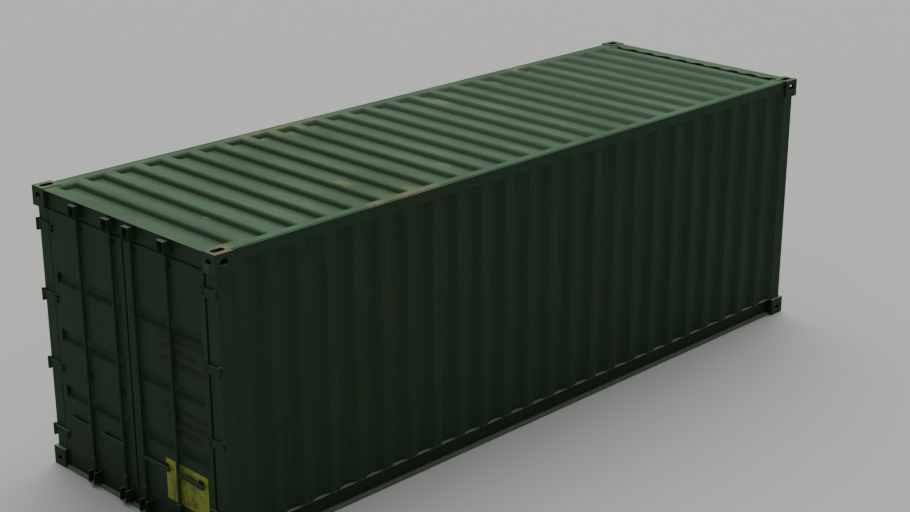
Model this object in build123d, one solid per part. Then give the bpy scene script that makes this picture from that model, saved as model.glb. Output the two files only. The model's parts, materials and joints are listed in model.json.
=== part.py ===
# Steel storage container with a pair of end doors.
# Millimetres. X runs across, Y along with the doors at the low end, Z up from the ground.
from build123d import *
import math
import os

# Whole box over the corner fittings
length = 7430.0
width = 2438.0
height = 2540.0

# Corner fittings: hollow castings with one hole in each outer face
fitting_length = 178.0
fitting_width = 162.0
fitting_height = 170.0
fitting_proud = 28.0
fitting_plate = 28.0
fitting_side_wall = 16.0
fitting_inner_wall = 12.0
lift_hole_length = 124.0
lift_hole_width = 63.5
side_hole_length = 79.5
end_hole_width = 63.5
face_hole_height = 51.0
face_hole_drop = 46.0
face_hole_runs = 6

# Posts at the four corners, hollow
post_recess = 32.0
post_wall = 6.0

# Bottom side rails: channels open to the outside
rail_bottom = 16.0
rail_height = 164.0
rail_width = 60.0
rail_wall = 5.0

# Top side rails: square hollow section
top_rail_height = 98.0
top_rail_width = 60.0
top_rail_wall = 4.0

# Corrugated walls
sheet = 2.0
side_pitch = 293.0
side_first = 400.0
side_last = 290.0
side_floor = 75.0
side_slope = 71.0
side_depth = 36.0
front_pitch = 222.0
front_floor = 56.0
front_slope = 55.0
front_depth = 40.0

# Roof: one sheet with pressed cross troughs
roof_drop = 6.0
trough_pitch = 295.0
trough_first_far = 324.0
trough_width = 205.0
trough_depth = 38.0
trough_side_gap = 98.0
end_trough_side_gap = 17.0
end_trough_width = 136.0
end_trough_gap = 95.0
end_rib = 89.0
roof_side_land = 18.0
roof_seam_land = 20.0

# Front header with its wave-edged plate
header_width = 60.0
header_wall = 4.0
header_plate = 3.0
wave_depth = 34.0
wave_floor = 56.0
wave_slope = 55.0
wave_seat = 4.0

# Door header and door sill
door_beam_recess = 42.0
door_header_depth = 60.0
door_sill_depth = 100.0
beam_wall = 4.0

# Cross members and floor
member_height = 122.0
member_width = 45.0
member_wall = 4.0
member_pitch = 293.0
member_first = 300.0
member_last = 390.0
floor_thickness = 28.0

# Door leaves
leaf_recess = 26.0
leaf_depth = 50.0
leaf_half_gap = 10.0
leaf_post_gap = 18.0
leaf_beam_gap = 13.0
stile_width = 60.0
door_rail_height = 110.0
frame_wall = 3.0
swage_count = 3
swage_floor = 50.0
swage_slope = 30.0
swage_depth = 30.0

# Door gaskets
gasket_lip = 7.0
gasket_hinge_lip = 11.0
gasket_centre_lip = 5.0
gasket_setback = 18.0
gasket_depth = 26.0

# Hinges
hinge_count = 4
hinge_end_gap = 150.0
pin_recess = 8.0
pin_radius = 8.0
lug_radius = 12.0
lug_height = 14.0
lug_root = 43.0
lug_clearance = 3.0
bore_clearance = 0.4
blade_height = 70.0
blade_thickness = 12.0
blade_overlap = 47.0
blade_toe = 5.0

# Lock rods and their cams, at these shares of a leaf's width from the middle
inner_rod_share = 0.125
outer_rod_share = 0.57
rod_radius = 15.0
rod_wall = 4.0
rod_recess = 3.0
rod_end_gap = 20.0
cam_height = 70.0
cam_wing = 22.0
cam_thickness = 12.0

# Keepers on the door header and the sill
keeper_half_width = 44.0
keeper_wall = 8.0
keeper_cap = 6.0
keeper_reach = 44.0
keeper_height = 106.0
keeper_edge = 24.0

# Rod guides on the leaves
guide_wall = 4.0
guide_clearance = 0.5
guide_height = 30.0
guide_foot_width = 76.0
guide_foot = 4.0

# Handles on the rods
handle_height = 530.0
handle_thickness = 10.0
handle_bar = 30.0
handle_end_gap = 124.0
handle_pivot_offset = 34.0
handle_pin_radius = 6.0
handle_pin_clearance = 0.3
ear_wall = 5.5
ear_gap = 0.5
ear_half_height = 16.0
ear_reach = 48.0

# Handle rests on the leaves
rest_inset = 60.0
rest_width = 60.0
rest_height = 80.0
rest_plate = 4.0
rest_shelf = 6.0
rest_gap = 5.0
rest_shelf_reach = 28.0

# Positions that follow from the sizes above
# The keepers stand out beyond the doors, so the origin is centred on the box with them.
door_plane = (keeper_reach - length) / 2
front_plane = door_plane + length
middle_y = (door_plane + front_plane) / 2
side_plane = width / 2
side_face = side_plane - fitting_proud
fitting_inner = side_plane - fitting_width
wall_start = door_plane + fitting_length
wall_end = front_plane - fitting_length
rail_top = rail_bottom + rail_height
roof_level = height - roof_drop
rail_roof = roof_level - sheet
top_rail_bottom = rail_roof - top_rail_height
beam_low = height - fitting_height
door_post_face = door_plane + post_recess
front_post_face = front_plane - post_recess
front_header_back = front_post_face - header_width
door_header_back = door_plane + door_beam_recess + door_header_depth
door_sill_back = door_plane + door_beam_recess + door_sill_depth
front_sill_back = front_post_face - door_sill_depth
leaf_face = door_plane + leaf_recess
leaf_edge = fitting_inner - leaf_post_gap
leaf_bottom = fitting_height + leaf_beam_gap
leaf_top = beam_low - leaf_beam_gap
leaf_width = leaf_edge - leaf_half_gap
rod_y = door_plane + rod_recess
rod_bottom = rail_bottom + keeper_edge + rod_end_gap
rod_top = roof_level - keeper_edge - keeper_cap - rod_end_gap
inner_rod_x = leaf_half_gap + leaf_width * inner_rod_share
outer_rod_x = leaf_half_gap + leaf_width * outer_rod_share
rod_offsets = (inner_rod_x, outer_rod_x)
handle_reach = outer_rod_x - inner_rod_x - handle_pivot_offset - handle_end_gap
pin_x = side_face
pin_y = door_plane + pin_recess
blade_end = leaf_edge - blade_overlap
trough_half_length = side_face - trough_side_gap
end_trough_half_length = fitting_inner - end_trough_side_gap
end_trough_far = front_plane - end_trough_gap
end_trough_near = end_trough_far - end_trough_width
last_rib_start = end_trough_near - end_rib

# Counts that follow from the sizes above
side_count = 1 + int((length - side_first - side_last) // side_pitch)
front_count = int(2 * fitting_inner // front_pitch)
member_count = 1 + int((length - member_first - member_last) // member_pitch)
trough_count = 1 + int((last_rib_start - door_plane - trough_first_far) // trough_pitch)


def block(x0, x1, y0, y1, z0, z1):
    size = Box(x1 - x0, y1 - y0, z1 - z0)
    return Pos((x0 + x1) / 2, (y0 + y1) / 2, (z0 + z1) / 2) * size


def prism(points, axis, start, end):
    if axis == "x":
        corners = [(start, a, b) for a, b in points]
        way = (1, 0, 0)
    elif axis == "y":
        corners = [(a, start, b) for a, b in points]
        way = (0, 1, 0)
    else:
        corners = [(a, b, start) for a, b in points]
        way = (0, 0, 1)
    face = make_face(Polyline(*corners, close=True))
    return extrude(face, amount=end - start, dir=way)


def upright(radius, x, y, z0, z1):
    return Pos(x, y, (z0 + z1) / 2) * Cylinder(radius, z1 - z0)


def crosswise(radius, x, z, y0, y1):
    return Pos(x, (y0 + y1) / 2, z) * Rot(90, 0, 0) * Cylinder(radius, y1 - y0)


def mirrored(shapes):
    return [shape.mirror(Plane.YZ) for shape in shapes]


def both_sides(shapes):
    return list(shapes) + mirrored(shapes)


# Corner points of one face of a folded sheet, as pairs of distance along it and level.
# A positive depth sinks the troughs to a lower level.
def wave(start, end, centres, floor, slope, depth, level, grow):
    points = [(start, level)]
    for centre in centres:
        half = floor / 2 + grow
        points.append((centre - half - slope, level))
        points.append((centre - half, level - depth))
        points.append((centre + half, level - depth))
        points.append((centre + half + slope, level))
    points.append((end, level))
    return points


# Outline of a folded sheet of one thickness, seen on its end.
def folded(start, end, centres, floor, slope, depth, level, thickness):
    angle = math.atan2(abs(depth), slope)
    side = math.copysign(1.0, depth)
    grow = thickness * math.tan(angle / 2)
    outer = wave(start, end, centres, floor, slope, depth, level, 0.0)
    inner = wave(start, end, centres, floor, slope, depth, level - side * thickness, grow)
    return outer + inner[::-1]


# A shallow tray shape with sides that slope at 45 degrees: where a long prism and a cross prism meet.
def tray(half_x, y0, y1, top, depth):
    low = top - depth
    across = [(-half_x, top), (half_x, top), (half_x - depth, low), (depth - half_x, low)]
    along = [(y0, top), (y1, top), (y1 - depth, low), (y0 + depth, low)]
    return prism(across, "y", y0, y1) & prism(along, "x", -half_x, half_x)


# Outline of a hole in a fitting's upright face, with ends rounded in short straight runs.
def slot_outline(slot_length, middle, level):
    radius = face_hole_height / 2
    reach = slot_length / 2 - radius
    points = []
    for side in (1, -1):
        for i in range(face_hole_runs + 1):
            angle = math.pi * (i / face_hole_runs - 0.5)
            across = side * (reach + radius * math.cos(angle))
            points.append((middle + across, level + side * radius * math.sin(angle)))
    return points


# One fitting for the low-Y, high-X corner. The lift hole is in its top or its bottom.
def corner_fitting(upper):
    x0, x1 = fitting_inner, side_plane
    y0, y1 = door_plane, wall_start
    z0 = height - fitting_height if upper else 0.0
    z1 = z0 + fitting_height
    body = block(x0, x1, y0, y1, z0, z1)
    floor_wall = fitting_inner_wall if upper else fitting_plate
    roof_wall = fitting_plate if upper else fitting_inner_wall
    body -= block(
        x0 + fitting_inner_wall, x1 - fitting_side_wall,
        y0 + fitting_side_wall, y1 - fitting_inner_wall,
        z0 + floor_wall, z1 - roof_wall,
    )
    hole_x = (x0 + x1) / 2
    hole_y = (y0 + y1) / 2
    if upper:
        hole_top = z1 - face_hole_drop
        lift_z = z1
    else:
        hole_top = z0 + face_hole_drop + face_hole_height
        lift_z = z0
    hole_z = hole_top - face_hole_height / 2
    lift = Pos(hole_x, hole_y, lift_z) * extrude(
        SlotOverall(lift_hole_length, lift_hole_width, rotation=90), amount=fitting_plate, both=True
    )
    side_slot = slot_outline(side_hole_length, hole_y, hole_z)
    end_slot = slot_outline(end_hole_width, hole_x, hole_z)
    body -= prism(side_slot, "x", x1 - fitting_side_wall, x1)
    body -= prism(end_slot, "y", y0, y0 + fitting_side_wall)
    return body - lift


def fittings(upper, front):
    one = corner_fitting(upper)
    if front:
        one = one.mirror(Plane.XZ.offset(-middle_y))
    return both_sides([one])


def post(front):
    y0, y1 = door_post_face, wall_start
    if front:
        y0, y1 = wall_end, front_post_face
    z0, z1 = fitting_height, beam_low
    outer = block(fitting_inner, side_face, y0, y1, z0, z1)
    inner = block(
        fitting_inner + post_wall, side_face - post_wall, y0 + post_wall, y1 - post_wall, z0, z1
    )
    return outer - inner


def bottom_side_rail():
    web = side_face - rail_width
    outer = block(web, side_face, wall_start, wall_end, rail_bottom, rail_top)
    return outer - block(
        web + rail_wall, side_face, wall_start, wall_end, rail_bottom + rail_wall, rail_top - rail_wall
    )


def top_side_rail():
    x0 = side_face - top_rail_width
    outer = block(x0, side_face, wall_start, wall_end, top_rail_bottom, rail_roof)
    return outer - block(
        x0 + top_rail_wall, side_face - top_rail_wall, wall_start, wall_end,
        top_rail_bottom + top_rail_wall, rail_roof - top_rail_wall,
    )


def side_wall():
    centres = [door_plane + side_first + side_pitch * i for i in range(side_count)]
    outline = folded(
        wall_start, wall_end, centres, side_floor, side_slope, side_depth, side_face, sheet
    )
    return prism([(x, y) for y, x in outline], "z", rail_top, top_rail_bottom)


def front_wall():
    middle = (front_count - 1) / 2
    centres = [(i - middle) * front_pitch for i in range(front_count)]
    outline = folded(
        -fitting_inner, fitting_inner, centres, front_floor, front_slope, front_depth,
        front_post_face, sheet,
    )
    return prism(outline, "z", fitting_height, top_rail_bottom)


def front_header():
    outer = block(
        -fitting_inner, fitting_inner, front_header_back, front_post_face, top_rail_bottom, rail_roof
    )
    return outer - block(
        -fitting_inner, fitting_inner, front_header_back + header_wall, front_post_face - header_wall,
        top_rail_bottom + header_wall, rail_roof - header_wall,
    )


# Flat plate over the front header. Its folded-down inner edge follows the wave of the end wall.
def front_header_plate():
    crest = end_trough_near + trough_depth + wave_seat
    middle = (front_count - 1) / 2
    centres = [(i - middle) * front_pitch for i in range(front_count)]
    lip_half = front_pitch * front_count / 2
    edge = wave(
        -lip_half, lip_half, centres, wave_floor, wave_slope, wave_depth, crest + wave_depth, 0.0
    )
    outline = [(-fitting_inner, end_trough_far), *edge, (fitting_inner, end_trough_far)]
    outline = [(-fitting_inner, front_post_face)] + outline + [(fitting_inner, front_post_face)]
    plate = prism(outline, "z", roof_level, roof_level + header_plate)
    lip = folded(
        -lip_half, lip_half, centres, wave_floor, wave_slope, wave_depth,
        crest + wave_depth + header_plate, header_plate,
    )
    return plate + prism(lip, "z", roof_level - trough_depth, roof_level)


def front_sill():
    outer = block(
        -fitting_inner, fitting_inner, front_sill_back, front_post_face, rail_bottom, fitting_height
    )
    return outer - block(
        -fitting_inner, fitting_inner, front_sill_back + beam_wall, front_post_face - beam_wall,
        rail_bottom + beam_wall, fitting_height - beam_wall,
    )


def door_header():
    face = door_plane + door_beam_recess
    outer = block(-fitting_inner, fitting_inner, face, door_header_back, beam_low, roof_level)
    inner = block(
        -fitting_inner, fitting_inner, face + beam_wall, door_header_back - beam_wall,
        beam_low + beam_wall, roof_level - beam_wall,
    )
    flange = block(-fitting_inner, fitting_inner, door_plane, face, roof_level - beam_wall, roof_level)
    return outer - inner + flange


def door_sill():
    face = door_plane + door_beam_recess
    outer = block(-fitting_inner, fitting_inner, face, door_sill_back, rail_bottom, fitting_height)
    inner = block(
        -fitting_inner, fitting_inner, face + beam_wall, door_sill_back - beam_wall,
        rail_bottom + beam_wall, fitting_height - beam_wall,
    )
    flange = block(-fitting_inner, fitting_inner, door_plane, face, rail_bottom, rail_bottom + beam_wall)
    return outer - inner + flange


# Long and short edges of each sunk tray: half its length across, and its near and far mouth edges.
def trough_spans():
    spans = []
    for i in range(trough_count):
        far = door_plane + trough_first_far + trough_pitch * i
        half = end_trough_half_length if i == 0 else trough_half_length
        spans.append((half, far - trough_width, far))
    spans.append((end_trough_half_length, end_trough_near, end_trough_far))
    return spans


def press_troughs(panel, spans):
    skin = sheet * math.sqrt(2)
    outers = []
    inners = []
    for half, near, far in spans:
        outers.append(tray(half + skin, near - skin, far + skin, roof_level, trough_depth + sheet))
        inners.append(tray(half, near, far, roof_level, trough_depth))
    return panel.fuse(*outers).cut(*inners)


# The end sheets fit between the corner fittings, up to a seam on the rib past the end trough.
def roof_seams():
    door_seam = door_plane + trough_first_far + roof_seam_land
    return door_seam, end_trough_near - roof_seam_land


def roof_end_sheet(front):
    spans = trough_spans()
    door_seam, front_seam = roof_seams()
    if front:
        y0, y1, span = front_seam, front_post_face, spans[-1]
    else:
        y0, y1, span = door_header_back, door_seam, spans[0]
    panel = block(-fitting_inner, fitting_inner, y0, y1, rail_roof, roof_level)
    return press_troughs(panel, [span])


def roof():
    x_edge = side_face - roof_side_land
    door_seam, front_seam = roof_seams()
    panel = block(-x_edge, x_edge, wall_start, wall_end, rail_roof, roof_level)
    panel -= block(-fitting_inner, fitting_inner, wall_start, door_seam, rail_roof, roof_level)
    panel -= block(-fitting_inner, fitting_inner, front_seam, wall_end, rail_roof, roof_level)
    return press_troughs(panel, trough_spans()[1:-1])


def cross_members():
    web_inner = side_face - rail_width
    top = fitting_height - floor_thickness
    members = []
    for i in range(member_count):
        y = door_plane + member_first + member_pitch * i
        body = block(
            -web_inner, web_inner, y - member_width / 2, y + member_width / 2, top - member_height, top
        )
        body -= block(
            -web_inner, web_inner, y - member_width / 2 + member_wall, y + member_width / 2,
            top - member_height + member_wall, top - member_wall,
        )
        members.append(body)
    return members


def floor():
    web_inner = side_face - rail_width
    z0 = fitting_height - floor_thickness
    deck = block(-web_inner, web_inner, wall_start, wall_end, z0, fitting_height)
    return deck + block(
        -fitting_inner, fitting_inner, door_sill_back, front_sill_back, z0, fitting_height
    )


def door_frame():
    y0 = leaf_face
    y1 = leaf_face + leaf_depth
    body = block(leaf_half_gap, leaf_edge, y0, y1, leaf_bottom, leaf_top)
    body -= block(
        leaf_half_gap + frame_wall, leaf_edge - frame_wall, y0 + frame_wall, y1 - frame_wall,
        leaf_bottom + frame_wall, leaf_top - frame_wall,
    )
    x0 = leaf_half_gap + stile_width
    x1 = leaf_edge - stile_width
    z0 = leaf_bottom + door_rail_height
    z1 = leaf_top - door_rail_height
    body += block(x0 - frame_wall, x1 + frame_wall, y0, y1, z0 - frame_wall, z1 + frame_wall)
    return body - block(x0, x1, y0, y1, z0, z1)


# Height of the flat fields of a door panel, between its rails and its swages.
def panel_field():
    rise = leaf_top - leaf_bottom - 2 * door_rail_height
    return (rise - swage_count * (swage_floor + 2 * swage_slope)) / (swage_count + 1)


def door_panel():
    x0 = leaf_half_gap + stile_width
    x1 = leaf_edge - stile_width
    z0 = leaf_bottom + door_rail_height
    z1 = leaf_top - door_rail_height
    span = swage_floor + 2 * swage_slope
    field = panel_field()
    centres = [z0 + field + span / 2 + i * (field + span) for i in range(swage_count)]
    outline = folded(
        z0, z1, centres, swage_floor, swage_slope, -swage_depth, leaf_face, sheet
    )
    return prism([(y, z) for z, y in outline], "x", x0, x1)


def door_gasket():
    y0 = leaf_face + gasket_setback
    y1 = y0 + gasket_depth
    ring = block(
        leaf_half_gap - gasket_centre_lip, leaf_edge + gasket_hinge_lip, y0, y1,
        leaf_bottom - gasket_lip, leaf_top + gasket_lip,
    )
    return ring - block(leaf_half_gap, leaf_edge, y0, y1, leaf_bottom, leaf_top)


# Front half of an eight-sided outline round an upright axis, from its left to its right.
def nose(x, y, radius):
    cut = radius * math.tan(math.pi / 8)
    return [(x - radius, y - cut), (x - cut, y - radius), (x + cut, y - radius), (x + radius, y - cut)]


def hinge_places():
    low = leaf_bottom + hinge_end_gap
    step = (leaf_top - hinge_end_gap - low) / (hinge_count - 1)
    return [low + i * step for i in range(hinge_count)]


def hinge_blades():
    front = leaf_face - blade_thickness
    cut = lug_radius * math.tan(math.pi / 8)
    arm = [
        (blade_end, leaf_face),
        (blade_end, front),
        (pin_x - 2 * lug_radius, front),
        *nose(pin_x, pin_y, lug_radius),
        (pin_x + lug_radius, pin_y + cut),
        (pin_x + cut, pin_y + lug_radius),
        (pin_x - lug_radius - blade_toe, leaf_face),
    ]
    blades = []
    for z in hinge_places():
        z0 = z - blade_height / 2
        z1 = z + blade_height / 2
        blade = prism(arm, "z", z0, z1)
        blades.append(blade - upright(pin_radius + bore_clearance, pin_x, pin_y, z0, z1))
    return blades


# A pair of lugs wrapped round the post's corner and the pin that is driven through them.
def hinge_lugs():
    web = [
        (side_face, door_post_face + lug_root),
        (side_face, door_post_face),
        (pin_x - lug_radius, door_post_face),
        *nose(pin_x, pin_y, lug_radius),
    ]
    inner = blade_height / 2 + lug_clearance
    outer = inner + lug_height
    lugs = []
    for z in hinge_places():
        hinge = upright(pin_radius, pin_x, pin_y, z - outer, z + outer)
        for z0 in (z - outer, z + inner):
            hinge += prism(web, "z", z0, z0 + lug_height)
        lugs.append(hinge)
    return lugs


def keeper(x, upper):
    back = door_plane + door_beam_recess
    if upper:
        z1 = roof_level - keeper_edge
        z0 = z1 - keeper_height
        cap0, cap1 = z1 - keeper_cap, z1
    else:
        z0 = rail_bottom + keeper_edge - keeper_cap
        z1 = z0 + keeper_height
        cap0, cap1 = z0, z0 + keeper_cap
    front = door_plane - keeper_reach
    left = x - keeper_half_width
    right = x + keeper_half_width
    body = block(left, right, back - keeper_wall, back, z0, z1)
    body += block(left, left + keeper_wall, front, back, z0, z1)
    body += block(right - keeper_wall, right, front, back, z0, z1)
    return body + block(left, right, front, back, cap0, cap1)


def keepers(upper):
    return both_sides([keeper(x, upper) for x in rod_offsets])


# The guides sit on the leaf's two rails and on the second flat field of its panel.
def guide_places():
    span = swage_floor + 2 * swage_slope
    field = panel_field()
    low_rail = leaf_bottom + door_rail_height / 2
    middle = leaf_bottom + door_rail_height + field + span + field / 2
    return low_rail, middle, leaf_top - door_rail_height / 2


# Straps folded round the rods, with a foot on each side.
def rod_guides():
    radius = rod_radius + guide_clearance
    outer = radius + guide_wall
    foot_half = guide_foot_width / 2
    foot_face = leaf_face - guide_foot
    guides = []
    for x in rod_offsets:
        strap = [
            (x - foot_half, leaf_face),
            (x - foot_half, foot_face),
            (x - outer, foot_face),
            *nose(x, rod_y, outer),
            (x + outer, foot_face),
            (x + foot_half, foot_face),
            (x + foot_half, leaf_face),
            (x + radius, leaf_face),
            *reversed(nose(x, rod_y, radius)),
            (x - radius, leaf_face),
        ]
        for z in guide_places():
            guides.append(prism(strap, "z", z - guide_height / 2, z + guide_height / 2))
    return guides


# Tube with a cam at each end and a pair of ears that carry the handle's pin.
def lock_rod(x):
    rod = upright(rod_radius, x, rod_y, rod_bottom, rod_top)
    for z0 in (rod_bottom, rod_top - cam_height):
        rod += block(
            x - cam_wing, x + cam_wing, rod_y - cam_thickness / 2, rod_y + cam_thickness / 2,
            z0, z0 + cam_height,
        )
    z0 = handle_height - ear_half_height
    z1 = handle_height + ear_half_height
    inside = handle_thickness / 2 + ear_gap
    outside = inside + ear_wall
    pivot = x + handle_pivot_offset
    rod += block(x, x + ear_reach, rod_y - outside, rod_y - inside, z0, z1)
    rod += block(x, x + ear_reach, rod_y + inside, rod_y + outside, z0, z1)
    rod += crosswise(handle_pin_radius, pivot, handle_height, rod_y - outside, rod_y + outside)
    return rod - upright(rod_radius - rod_wall, x, rod_y, rod_bottom, rod_top - rod_wall)


def lock_handle(x):
    pivot = x + handle_pivot_offset
    half = handle_bar / 2
    cut = half * math.tan(math.pi / 8)
    end = pivot + handle_reach
    outline = [
        (pivot - cut, handle_height - half),
        (pivot - half, handle_height - cut),
        (pivot - half, handle_height + cut),
        (pivot - cut, handle_height + half),
        (end, handle_height + half),
        (end, handle_height - half),
    ]
    y0 = rod_y - handle_thickness / 2
    y1 = rod_y + handle_thickness / 2
    bore = crosswise(handle_pin_radius + handle_pin_clearance, pivot, handle_height, y0, y1)
    return prism(outline, "y", y0, y1) - bore


def handle_rests():
    rests = []
    shelf_top = handle_height - handle_bar / 2 - rest_gap
    for x in rod_offsets:
        middle = x + handle_pivot_offset + handle_reach - rest_inset
        left = middle - rest_width / 2
        right = middle + rest_width / 2
        rest = block(
            left, right, leaf_face - rest_plate, leaf_face,
            handle_height - rest_height / 2, handle_height + rest_height / 2,
        )
        rest += block(
            left, right, leaf_face - rest_shelf_reach, leaf_face, shelf_top - rest_shelf, shelf_top
        )
        rests.append(rest)
    return rests


def save(name, shapes):
    solids = []
    for shape in shapes:
        solids.extend(shape.solids())
    export_step(Compound(children=solids), "parts/" + name + ".step")


def save_pair(name, shapes):
    save("right_" + name, shapes)
    save("left_" + name, mirrored(shapes))


def build():
    os.makedirs("parts", exist_ok=True)
    save("door_top_fittings", fittings(True, False))
    save("door_bottom_fittings", fittings(False, False))
    save("front_top_fittings", fittings(True, True))
    save("front_bottom_fittings", fittings(False, True))
    save("door_posts", both_sides([post(False)]))
    save("front_posts", both_sides([post(True)]))
    save("bottom_side_rails", both_sides([bottom_side_rail()]))
    save("top_side_rails", both_sides([top_side_rail()]))
    save_pair("side_wall", [side_wall()])
    save("front_wall", [front_wall()])
    save("front_header", [front_header()])
    save("front_header_plate", [front_header_plate()])
    save("front_sill", [front_sill()])
    save("door_header", [door_header()])
    save("door_sill", [door_sill()])
    save("roof", [roof()])
    save("roof_door_sheet", [roof_end_sheet(False)])
    save("roof_front_sheet", [roof_end_sheet(True)])
    save("cross_members", cross_members())
    save("floor", [floor()])
    save("hinge_lugs", both_sides(hinge_lugs()))
    save("top_keepers", keepers(True))
    save("bottom_keepers", keepers(False))
    save_pair("door_frame", [door_frame()])
    save_pair("door_panel", [door_panel()])
    save_pair("door_gasket", [door_gasket()])
    save_pair("hinge_blades", hinge_blades())
    save_pair("rod_guides", rod_guides())
    save_pair("handle_rests", handle_rests())
    for place, x in zip(("inner", "outer"), rod_offsets):
        save_pair(place + "_lock_rod", [lock_rod(x)])
        save_pair(place + "_handle", [lock_handle(x)])


build()
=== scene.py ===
import json
import math
import bpy
from mathutils import Matrix, Vector


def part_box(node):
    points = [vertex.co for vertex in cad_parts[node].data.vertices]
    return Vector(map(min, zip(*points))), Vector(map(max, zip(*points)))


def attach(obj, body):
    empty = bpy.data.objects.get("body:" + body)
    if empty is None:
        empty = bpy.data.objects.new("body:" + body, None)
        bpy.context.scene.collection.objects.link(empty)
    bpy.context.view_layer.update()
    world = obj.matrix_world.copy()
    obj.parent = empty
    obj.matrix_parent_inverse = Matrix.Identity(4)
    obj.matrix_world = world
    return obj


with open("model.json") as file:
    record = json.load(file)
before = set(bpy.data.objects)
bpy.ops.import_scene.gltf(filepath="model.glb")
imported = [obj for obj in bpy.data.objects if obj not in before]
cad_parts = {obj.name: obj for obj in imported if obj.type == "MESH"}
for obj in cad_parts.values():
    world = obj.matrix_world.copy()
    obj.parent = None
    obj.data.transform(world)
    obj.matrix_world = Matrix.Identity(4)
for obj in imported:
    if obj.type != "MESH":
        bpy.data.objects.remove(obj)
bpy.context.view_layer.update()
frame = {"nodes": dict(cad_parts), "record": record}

mm = 0.001
cadNodes = frame["nodes"]

# Camera: looks down on the doors and the right side
cameraValues = {
    "focalLength": 68.48,
    "sensorWidth": 36.0,
    "clipEnd": 400.0,
    "azimuth": 44.78,
    "elevation": 19.95,
    "distance": 16.79,
    "slideRight": 0.005,
    "slideUp": 1.193,
    "originShift": 0.022,
}

# Studio: one very soft high light from behind, an even dome and a pale floor
studioValues = {
    "floorHalf": 120.0,
    "floorColour": "#CFCEC9",
    "floorRoughness": 0.85,
    "skyColour": "#D9DDE2",
    "skyStrength": 0.55,
    "highLight": 1.9,
    "highSpread": 70.0,
    "highFrom": (-3.5, 4.0, 9.0),
}


def clearSelection():
    if bpy.context.mode != "OBJECT":
        bpy.ops.object.mode_set(mode="OBJECT")
    bpy.ops.object.select_all(action="DESELECT")


def linearColour(hexText):
    out = []
    for i in (1, 3, 5):
        value = int(hexText[i:i + 2], 16) / 255
        out.append(value / 12.92 if value <= 0.04045 else ((value + 0.055) / 1.055) ** 2.4)
    return (*out, 1.0)


# Adds one node, sets its options, fills its sockets and makes its links. A socket is given by its name,
# or as i0, i1 and so on by its number.
def addNode(tree, kind, options=None, **sockets):
    node = tree.nodes.new(kind)
    for name, value in (options or {}).items():
        setattr(node, name, value)
    for name, value in sockets.items():
        key = int(name[1:]) if name[1:].isdigit() else name.replace("_", " ")
        if isinstance(value, bpy.types.NodeSocket):
            tree.links.new(value, node.inputs[key])
        else:
            node.inputs[key].default_value = value
    return node


def newMaterial(name):
    material = bpy.data.materials.new(name)
    material.use_nodes = True
    material.node_tree.nodes.clear()
    return material, material.node_tree


def closeMaterial(tree, shader, bumpHeight=None, bumpDistance=1 * mm, strength=1.0):
    if bumpHeight is not None:
        bump = addNode(tree, "ShaderNodeBump", Height=bumpHeight, Distance=bumpDistance, Strength=strength)
        tree.links.new(bump.outputs["Normal"], shader.inputs["Normal"])
    addNode(tree, "ShaderNodeOutputMaterial", Surface=shader.outputs["BSDF"])


# Places that the small pieces sit on, read from the frame
jointPlaces = {joint["name"]: joint["pos_m"] for joint in frame["record"]["behaviour"]["joints"]}
rodX = {place: jointPlaces["right_" + place + "_rod_turn"][0] for place in ("inner", "outer")}
rodY = jointPlaces["right_inner_rod_turn"][1]
pinX, pinY = jointPlaces["right_door_hinge"][:2]
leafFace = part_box("right_door_frame")[0].y
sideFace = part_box("right_side_wall")[1].x
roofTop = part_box("roof")[1].z
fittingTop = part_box("door_bottom_fittings")[1].z
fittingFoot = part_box("door_top_fittings")[0].z
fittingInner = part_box("roof_door_sheet")[1].x


# The floors of the roof's troughs: middle of the first, pitch, half width and level.
def troughFloors():
    corners = [vertex.co for vertex in cadNodes["roof"].data.vertices]
    level = sorted({round(corner.z, 4) for corner in corners})[1]
    bends = sorted({round(corner.y, 4) for corner in corners if abs(corner.z - level) < 0.2 * mm})
    return (bends[0] + bends[1]) / 2, bends[2] - bends[0], (bends[1] - bends[0]) / 2, level


# Worn places: x, y, z and reach in metres
wornSpots = [
    (1.19, -3.62, 2.51, 0.16),
    (1.10, -3.54, 2.54, 0.12),
    (1.19, -1.62, 2.54, 0.28),
    (1.19, -2.02, 2.50, 0.18),
    (1.18, -1.40, 2.42, 0.22),
    (1.18, -1.93, 1.63, 0.34),
    (1.18, -2.20, 1.00, 0.30),
    (1.18, -1.98, 0.55, 0.25),
    (1.18, 0.68, 0.97, 0.28),
    (1.18, 1.00, 0.37, 0.25),
    (1.19, 3.60, 2.39, 0.22),
    (-1.17, -1.12, 2.54, 0.36),
    (-1.12, -1.45, 2.54, 0.20),
    (-1.14, -0.80, 2.54, 0.20),
    (-0.80, 0.60, 2.54, 0.24),
    (-0.96, 1.51, 2.54, 0.16),
    (-1.10, 2.08, 2.54, 0.18),
    (0.38, -3.09, 2.50, 0.07),
    (0.69, -0.84, 2.52, 0.13),
    (0.55, -1.84, 2.54, 0.14),
    (-1.12, -3.60, 2.54, 0.16),
    (-1.19, 2.10, 0.12, 0.30),
    (0.90, 3.70, 0.12, 0.25),
]

# Pale scuffs at the near corner, below the holes of its fitting
scuffSpots = [
    (1.115, -3.693, 2.418, 0.045),
    (1.191, -3.580, 2.408, 0.035),
]

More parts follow.
